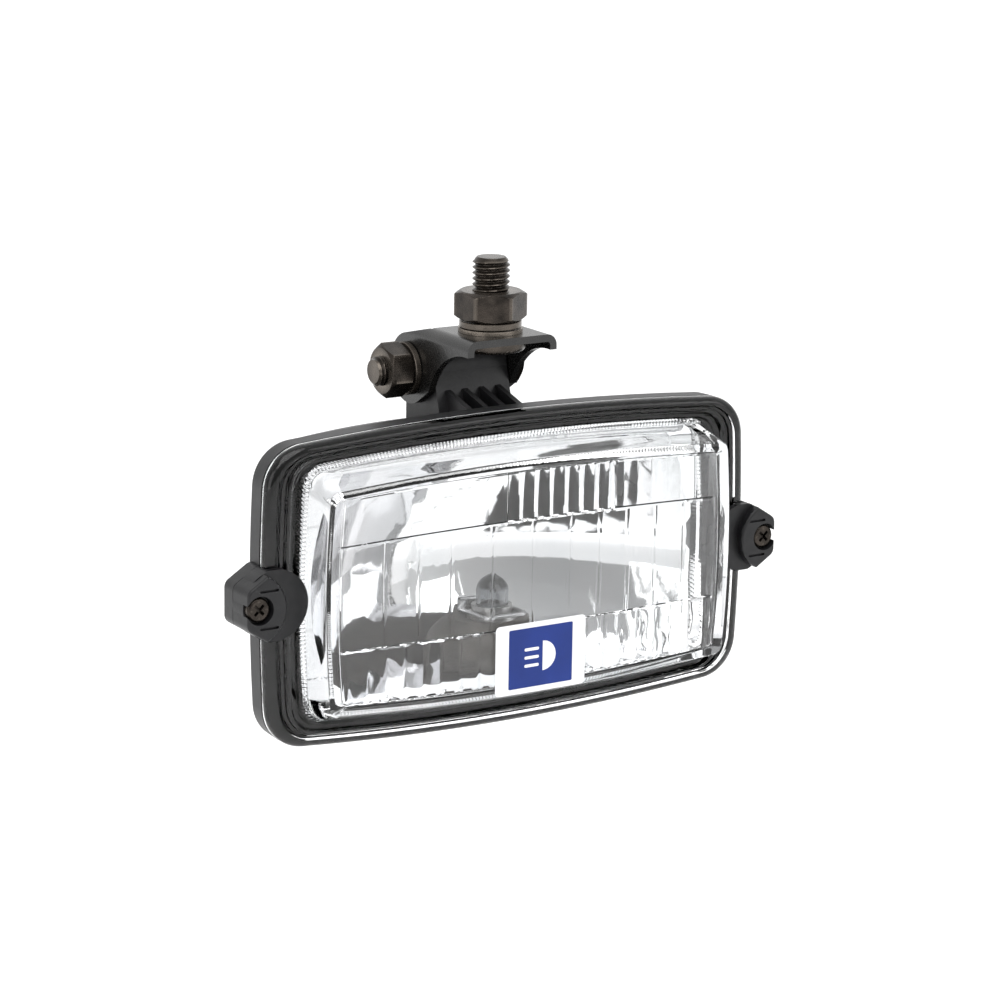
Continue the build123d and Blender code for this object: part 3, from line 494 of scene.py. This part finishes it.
def make_lens(materials):
    """The pressed glass: bead, ridge, serrated band, hollow step and fluted front."""
    low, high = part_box("lens")
    back_y, front_y = high.y, low.y
    centre_z = (high.z + low.z) / 2
    points, faces = [], []

    def add_ring(line, height):
        """Adds a ring at its heights above the flange's back, and returns its first point."""
        first = len(points)
        levels = np.broadcast_to(np.asarray(height, float), (len(line),))
        points.extend((x, back_y - f, centre_z + z) for (x, z), f in zip(line, levels))
        return first

    total = COARSE * FINE
    flange = [add_ring(flange_ring(inset, 1), height * MM) for inset, height in flange_profile()]
    band = []
    for row in range(BAND_ROWS):
        part = row / (BAND_ROWS - 1)
        inset = BAND_FOOT[0] + part * (BAND_TOP[0] - BAND_FOOT[0])
        height = BAND_FOOT[1] + part * (BAND_TOP[1] - BAND_FOOT[1])
        phase = ((np.arange(total) + row) % TOOTH_STEPS) / TOOTH_STEPS
        teeth = TOOTH_HEIGHT * (1 - np.abs(2 * phase - 1)) * (0 < row < BAND_ROWS - 1)
        band.append(add_ring(flange_ring(inset, FINE), (height + teeth) * MM))
    faces += walls(flange, COARSE)
    faces += bridge(band[0], flange[-1], COARSE, FINE)
    faces += walls(band, total)
    front_height, foot_height = back_y - front_y, BAND_TOP[1] * MM

    def step_ring(part, shrink, height):
        """A ring on the step, at its share of the way from foot to front."""
        size = [f + part * (t - f) - shrink for f, t in zip(STEP_FOOT, STEP_FRONT)]
        corner = FOOT_CORNER + part * (FRONT_CORNER - FOOT_CORNER)
        return add_ring(bowed_ring(*size, STEP_BOW, corner, 1), height)

    outside = [step_ring(0.0, 0.0, foot_height)]
    for part in STEP_ROWS:
        outside.append(step_ring(part, 0.0, front_height * part + foot_height * (1 - part)))
    for part, shrink, dip in STEP_ROUND:
        outside.append(step_ring(part, shrink, front_height - dip))
    for over, dip in FIELD_GROOVE:
        half = FIELD[0] + over * MM, FIELD[1] + over * MM
        groove = bowed_ring(*half, FIELD_BOW, FIELD_CORNER, 1)
        outside.append(add_ring(groove, front_height - dip * MM))
    faces += bridge(band[-1], outside[0], COARSE, FINE)
    faces += walls(outside, COARSE)
    faces.append([outside[-1] + k for k in range(COARSE)])
    levels = ((0.0, 0.0), (0.5, front_height / 2), (1.0, front_height - INSIDE_DROP))
    inside = [step_ring(part, STEP_WALL, level) for part, level in levels]
    faces += bridge(flange[0], inside[0], COARSE)
    faces += walls(inside, COARSE)
    faces += optic_grid(points, inside[-1], back_y, centre_z, front_height - FRONT_WALL)
    lens = make_object("lens_glass_body", points, faces, 28)
    dress(lens, LAMP, "lens_glass", materials["lens_glass"], "lens")


def optic_grid(points, ring, back_y, centre_z, height):
    """The fluted back of the front face, joined to the last ring inside the step."""
    u, v = np.meshgrid(np.linspace(-1, 1, RING_X + 1), np.linspace(-1, 1, RING_Z + 1))
    x = u * (FIELD[0] - SIDE_BOW * v**2)
    z = v * (FIELD[1] - FIELD_BOW * u**2)
    y = back_y - height + optics(x, v * FIELD[1]) * (np.abs(u) < 1) * (np.abs(v) < 1)
    first = len(points)
    points.extend(zip(x.ravel(), y.ravel(), centre_z + z.ravel()))

    def at(column, row):
        """The number of a point of the grid."""
        return first + row * (RING_X + 1) + column

    faces = []
    for row in range(RING_Z):
        for column in range(RING_X):
            corners = ((0, 0), (1, 0), (1, 1), (0, 1))
            faces.append([at(column + right, row + up) for right, up in corners])
    middle = RING_X // 2
    rim = [at(c, RING_Z) for c in range(middle, RING_X + 1)]
    rim += [at(RING_X, r) for r in range(RING_Z - 1, -1, -1)]
    rim += [at(c, 0) for c in range(RING_X - 1, -1, -1)]
    rim += [at(0, r) for r in range(1, RING_Z + 1)]
    rim += [at(c, RING_Z) for c in range(1, middle)]
    for k in range(COARSE):
        after = (k + 1) % COARSE
        faces.append([ring + k, ring + after, rim[after], rim[k]])
    return faces


def make_seal(materials):
    """The seal, with a thin lip that reaches in under the serrated band."""
    low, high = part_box("lens_seal")
    lens_low, lens_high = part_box("lens")
    centre_z = (lens_low.z + lens_high.z) / 2
    lip_back = low.y + LIP_THICKNESS
    corners = [
        (SEAL_EDGE, low.y), (SEAL_EDGE, high.y), (SEAL_REACH, high.y), (SEAL_REACH, lip_back),
        (LIP_REACH, lip_back), (LIP_REACH, low.y),
    ]
    points, faces = [], []
    for inset, y in corners:
        points.extend((x, y, centre_z + z) for x, z in flange_ring(inset, 1))
    for row in range(len(corners)):
        faces += bridge(row * COARSE, (row + 1) % len(corners) * COARSE, COARSE)
    seal = make_object("lens_seal_lipped", points, faces, 30)
    dress(seal, LAMP, "seal_rubber", materials["seal_rubber"], "lens_seal")


# ---- Turned pieces: stud, bolt, nuts and washers ------------------------------------------

TURN_STEPS, ROWS_PER_THREAD = 96, 10
THREAD_SLOPE, THREAD_LAND = 1.25, 0.1
NUT_CHAMFER, NUT_FACE = math.tan(math.radians(30)), 0.95  # the face as a share of the flats
NUT_CREASE = 25
STUD_AXIS = Vector((0, 0, 0))
STUD_PITCH, STUD_THREAD = 1.5 * MM, 0.8 * MM
STUD_HEAD, STUD_ROUND = 2.8 * MM, 1.2 * MM  # height of the head, and its rounding
STUD_SHANK, STUD_CREST, STUD_BORE = 4.45 * MM, 5.0 * MM, 4.55 * MM  # radii
STUD_CUT = 1.0 * MM
STUD_TIP = ((0.5 * MM, 0.7 * MM), (0.0, 1.2 * MM))  # distance from the end, and cut
STUD_FLAT, STUD_NUT_TURN = 8.5 * MM, math.radians(33)
PIVOT_PITCH, PIVOT_THREAD = 1.25 * MM, 0.65 * MM
PIVOT_RADIUS, PIVOT_BORE = 4.0 * MM, 4.05 * MM
PIVOT_TIP, PIVOT_CUT = 0.7 * MM, 0.8 * MM
PIVOT_FLAT, PIVOT_NUT_TURN = 6.5 * MM, math.radians(19)
WASHER_WIRE, WASHER_RISE, WASHER_SOFT = 0.8, 0.2, 0.08  # shares of the thickness
WASHER_CUT, WASHER_START = math.radians(9), math.radians(60)  # the cut faces away


def turned(name, profile, place, shape, crease=35, closed=False):
    """A shape turned from (distance, radius) pairs, whose radius may change round the turn."""
    turns = np.linspace(0, 2 * math.pi, TURN_STEPS, endpoint=False)
    points, faces = [], []
    for along, radius in profile:
        for turn in turns:
            points.append(place(along, shape(along, radius, turn), turn))
    rows = len(profile) if closed else len(profile) - 1
    for row in range(rows):
        after = (row + 1) % len(profile)
        faces += bridge(row * TURN_STEPS, after * TURN_STEPS, TURN_STEPS)
    return make_object(name, points, faces, crease)


def upright(centre):
    """Places a turned shape along Z."""
    return lambda t, r, a: (centre.x + r * math.cos(a), centre.y + r * math.sin(a), t)


def sideways(centre):
    """Places a turned shape along X."""
    return lambda t, r, a: (t, centre.y + r * math.cos(a), centre.z + r * math.sin(a))


def threaded(start, end, pitch, depth):
    """A shape with a helical thread between two distances."""

    def shape(along, radius, turn):
        if not start <= along <= end:
            return radius
        lead = (along / pitch - turn / (2 * math.pi)) % 1.0
        groove = (1 - abs(2 * lead - 1)) * THREAD_SLOPE - THREAD_LAND
        groove = min(1.0, max(0.0, groove))
        return radius - depth * groove

    return shape


def hexagonal(flat, turned_by):
    """A shape that is cut to a hexagon with this distance from its axis to a flat."""

    def shape(along, radius, turn):
        off = (turn - turned_by) % (math.pi / 3) - math.pi / 6
        return min(radius, flat / math.cos(off))

    return shape


def thread_rows(start, end, radius, pitch):
    """Profile rows close enough together to carry a thread."""
    count = int((end - start) / (pitch / ROWS_PER_THREAD))
    return [(start + (end - start) * k / count, radius) for k in range(count + 1)]


def hex_profile(start, end, flat, bore=None):
    """A hexagon's profile, both ends chamfered to a circle. The shape cuts the flats."""
    corner = flat / math.cos(math.pi / 6)
    edge = flat * NUT_FACE
    fall = (corner - edge) * NUT_CHAMFER
    sign = 1 if end > start else -1
    steps = np.linspace(0, 1, 9)
    rows = [(start + sign * fall * s, edge + (corner - edge) * s) for s in steps]
    rows += [(end - sign * fall * s, edge + (corner - edge) * s) for s in steps[::-1]]
    if bore is None:
        return [(start, 0)] + rows + [(end, 0)]
    return [(start, bore)] + rows + [(end, bore)]


def make_stud(materials):
    """The mounting stud: a round head under the plate, a shank and a threaded end."""
    low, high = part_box("mounting_stud")
    head_r = (high.x - low.x) / 2
    nut_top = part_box("stud_nut")[1].z
    plate_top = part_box("bracket")[1].z
    head_top, thread_top = low.z + STUD_HEAD, high.z - STUD_CUT
    rows = [(low.z, 0), (low.z, head_r - STUD_ROUND)]
    for turn in np.linspace(0, math.pi / 2, 6)[1:]:
        up, inward = STUD_ROUND * (1 - math.cos(turn)), STUD_ROUND * (1 - math.sin(turn))
        rows.append((low.z + up, head_r - inward))
    rows.append((head_top, head_r))
    rows += [(level, STUD_SHANK) for level in (head_top, plate_top, nut_top)]
    rows += thread_rows(nut_top, thread_top, STUD_CREST, STUD_PITCH)
    rows += [(high.z - down, STUD_CREST - cut) for down, cut in STUD_TIP] + [(high.z, 0)]
    thread = threaded(nut_top, thread_top, STUD_PITCH, STUD_THREAD)
    stud = turned("mounting_stud_threaded", rows, upright(STUD_AXIS), thread)
    dress(stud, STUD, "black_zinc", materials["black_zinc"], "mounting_stud")


def make_stud_nut(materials):
    """The nut on the stud, with chamfered corners."""
    low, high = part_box("stud_nut")
    shape = hexagonal(STUD_FLAT, STUD_NUT_TURN)
    rows = hex_profile(low.z, high.z, STUD_FLAT, STUD_BORE)
    nut = turned("stud_nut_chamfered", rows, upright(STUD_AXIS), shape, NUT_CREASE, closed=True)
    dress(nut, STUD, "black_zinc", materials["black_zinc"], "stud_nut")


def make_pivot(materials):
    """The pivot bolt with its hexagon head and threaded end, and its nut."""
    low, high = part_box("pivot_bolt")
    nut_low, nut_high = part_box("pivot_nut")
    bracket_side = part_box("bracket")[1].x
    place = sideways(centre_of(nut_low, nut_high))
    rows = hex_profile(high.x, bracket_side, PIVOT_FLAT)
    head = turned("pivot_bolt_head", rows, place, hexagonal(PIVOT_FLAT, 0), NUT_CREASE)
    dress(head, BRACKET, "black_zinc", materials["black_zinc"])
    start, end = nut_low.x, low.x + PIVOT_TIP
    rows = [(bracket_side, 0), (bracket_side, PIVOT_RADIUS), (start, PIVOT_RADIUS)]
    rows += thread_rows(start, end, PIVOT_RADIUS, -PIVOT_PITCH)
    rows += [(low.x, PIVOT_RADIUS - PIVOT_CUT), (low.x, 0)]
    shape = threaded(end, start, PIVOT_PITCH, PIVOT_THREAD)
    bolt = turned("pivot_bolt_shank", rows, place, shape)
    dress(bolt, BRACKET, "black_zinc", materials["black_zinc"], "pivot_bolt")
    rows = hex_profile(nut_high.x, nut_low.x, PIVOT_FLAT, PIVOT_BORE)
    shape = hexagonal(PIVOT_FLAT, PIVOT_NUT_TURN)
    nut = turned("pivot_nut_chamfered", rows, place, shape, NUT_CREASE, closed=True)
    dress(nut, BRACKET, "black_zinc", materials["black_zinc"], "pivot_nut")


def split_washer(name, node, body, axis, bore, materials):
    """A spring washer: a square-edged ring cut through, with its ends a little apart."""
    low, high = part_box(node)
    centre = centre_of(low, high)
    along = {"Z": 2, "X": 0}[axis]
    outer = (high.y - low.y) / 2
    thick = high[along] - low[along]
    wire, rise, soft = thick * WASHER_WIRE, thick * WASHER_RISE, thick * WASHER_SOFT
    place = upright(centre) if axis == "Z" else sideways(centre)
    start = WASHER_START if axis == "Z" else -WASHER_START
    section = [
        (bore + soft, 0), (outer - soft, 0), (outer, soft), (outer, wire - soft),
        (outer - soft, wire), (bore + soft, wire), (bore, wire - soft), (bore, soft),
    ]
    turns = np.linspace(WASHER_CUT / 2, 2 * math.pi - WASHER_CUT / 2, TURN_STEPS)
    points = []
    for number, turn in enumerate(turns):
        lift = rise * number / (TURN_STEPS - 1)
        for radius, up in section:
            points.append(place(low[along] + up + lift, radius, turn + start))
    size = len(section)
    faces = []
    for k in range(TURN_STEPS - 1):
        faces += bridge(k * size, (k + 1) * size, size)
    faces.append(list(range(size)))
    faces.append([(TURN_STEPS - 1) * size + k for k in range(size)])
    ring = make_object(name, points, faces, 30)
    dress(ring, body, "black_zinc", materials["black_zinc"], node)


# ---- Bulb and label -----------------------------------------------------------------------

WIRE_ROUNDNESS = 3
COIL_RADIUS, COIL_WIRE = 0.42 * MM, 0.09 * MM
COIL_TURNS, COIL_STEPS = 11, 12  # turns, and points to a turn
COIL_DROP, COIL_INSET, POST_INSET = 0.55 * MM, 0.5 * MM, 0.3 * MM
PAPER_DEPTH, INK_DEPTH = 0.06 * MM, 0.03 * MM  # depth of the sticker's layers under its front
LABEL_CORNER, PANEL_CORNER = 1.2 * MM, 0.4 * MM
PANEL_WIDTH, PANEL_HEIGHT = 0.71, 0.85  # shares of the label's own
PANEL_DARK, PANEL_LIGHT = (0.004, 0.022, 0.16), (0.006, 0.028, 0.2)
SIGN_RADIUS, SIGN_SHIFT = 0.5, 0.15  # shares of the panel's half height and of the radius
BAR_LEVELS, BAR_SHIFT = (-0.55, 0.0, 0.55), 0.7  # these and the next in sign radii
BAR_LENGTH, BAR_HEIGHT, BAR_CORNER = 0.55, 0.1, 0.09


def tube(name, path, radius):
    """A round wire along a path."""
    curve = bpy.data.curves.new(name, "CURVE")
    curve.dimensions = "3D"
    curve.bevel_depth = radius
    curve.bevel_resolution = WIRE_ROUNDNESS
    curve.use_fill_caps = True
    spline = curve.splines.new("POLY")
    spline.points.add(len(path) - 1)
    for point, place in zip(spline.points, path):
        point.co = (*place, 1)
    shape = bpy.data.objects.new(name + "_curve", curve)
    bpy.context.scene.collection.objects.link(shape)
    bpy.context.view_layer.update()
    graph = bpy.context.evaluated_depsgraph_get()
    mesh = bpy.data.meshes.new_from_object(shape.evaluated_get(graph))
    bpy.data.objects.remove(shape)
    thing = bpy.data.objects.new(name, mesh)
    mesh.polygons.foreach_set("use_smooth", [True] * len(mesh.polygons))
    bpy.context.scene.collection.objects.link(thing)
    return thing


def make_filament(materials):
    """A coiled filament on its two posts."""
    low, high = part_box("bulb_filament")
    middle_y = (low.y + high.y) / 2
    coil_z = high.z - COIL_DROP
    coil_length, steps = high.x - low.x - 2 * COIL_INSET, COIL_TURNS * COIL_STEPS
    path = [(low.x + POST_INSET, middle_y, level) for level in (low.z, coil_z)]
    for step in range(steps + 1):
        turn = 2 * math.pi * step / COIL_STEPS
        path.append((
            low.x + COIL_INSET + coil_length * step / steps,
            middle_y + COIL_RADIUS * math.sin(turn),
            coil_z + COIL_RADIUS * math.cos(turn),
        ))
    path += [(high.x - POST_INSET, middle_y, level) for level in (coil_z, low.z)]
    filament = tube("bulb_filament_coil", path, COIL_WIRE)
    dress(filament, LAMP, "filament_tungsten", materials["filament_tungsten"], "bulb_filament")


def prism(name, outline, back_y, front_y):
    """A flat piece with this outline in X and Z."""
    count = len(outline)
    points = [(x, y, z) for y in (back_y, front_y) for x, z in outline]
    faces = bridge(0, count, count) + [list(range(count)), list(range(count, 2 * count))]
    return make_object(name, points, faces, 30)


def rounded_rectangle(centre, half_width, half_height, corner):
    """The outline of a rectangle with round corners."""
    outline = []
    for sx, sz, start in ((1, 1, 0), (-1, 1, 90), (-1, -1, 180), (1, -1, 270)):
        for turn in np.radians(np.linspace(start, start + 90, 9)):
            outline.append((
                centre[0] + sx * (half_width - corner) + corner * math.cos(turn),
                centre[1] + sz * (half_height - corner) + corner * math.sin(turn),
            ))
    return outline


def make_label(materials):
    """A white sticker with a blue panel and a plain lamp sign: a half disc and three bars."""
    low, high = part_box("front_label")
    centre = ((low.x + high.x) / 2, (low.z + high.z) / 2)
    half_width, half_height = (high.x - low.x) / 2, (high.z - low.z) / 2
    paper, ink = low.y + PAPER_DEPTH, low.y + INK_DEPTH
    blue = finish("label_blue", PANEL_DARK, PANEL_LIGHT, 0.35, 900, 0.03, specular=0.3)
    outline = rounded_rectangle(centre, half_width, half_height, LABEL_CORNER)
    base = prism("label_base", outline, high.y, paper)
    dress(base, LAMP, "label_vinyl", materials["label_vinyl"], "front_label")
    wide, tall = half_width * PANEL_WIDTH, half_height * PANEL_HEIGHT
    outline = rounded_rectangle(centre, wide, tall, PANEL_CORNER)
    panel = prism("label_panel", outline, paper, ink)
    dress(panel, LAMP, "label_vinyl", blue)
    radius = tall * SIGN_RADIUS
    disc_x, disc_z = centre[0] + radius * SIGN_SHIFT, centre[1]
    turns = np.radians(np.linspace(-90, 90, 25))
    disc = [(disc_x + radius * math.cos(t), disc_z + radius * math.sin(t)) for t in turns]
    sign = prism("label_sign_lamp", disc, ink, low.y)
    dress(sign, LAMP, "label_vinyl", materials["label_vinyl"])
    size = [radius * share for share in (BAR_LENGTH, BAR_HEIGHT, BAR_CORNER)]
    for number, level in enumerate(BAR_LEVELS):
        bar_centre = (centre[0] - radius * BAR_SHIFT, centre[1] + level * radius)
        outline = rounded_rectangle(bar_centre, *size)
        bar = prism(f"label_sign_bar_{number}", outline, ink, low.y)
        dress(bar, LAMP, "label_vinyl", materials["label_vinyl"])


# ---- Everything together ------------------------------------------------------------------


def dress_cad_nodes(materials):
    """Each CAD node that stays gets the material of its slot in the record."""
    for part in frame["record"]["subparts"]:
        node = frame["nodes"][part["node"]]
        node.data.materials.clear()
        node.data.materials.append(materials[part["material_slot"]])


materials = make_materials()
make_camera()
make_studio()
dress_cad_nodes(materials)
make_lens(materials)
make_seal(materials)
make_stud(materials)
make_stud_nut(materials)
make_pivot(materials)
split_washer("stud_spring_washer_split", "stud_spring_washer", STUD, "Z", STUD_BORE, materials)
split_washer(
    "pivot_spring_washer_split", "pivot_spring_washer", BRACKET, "X", PIVOT_BORE, materials)
make_filament(materials)
make_label(materials)
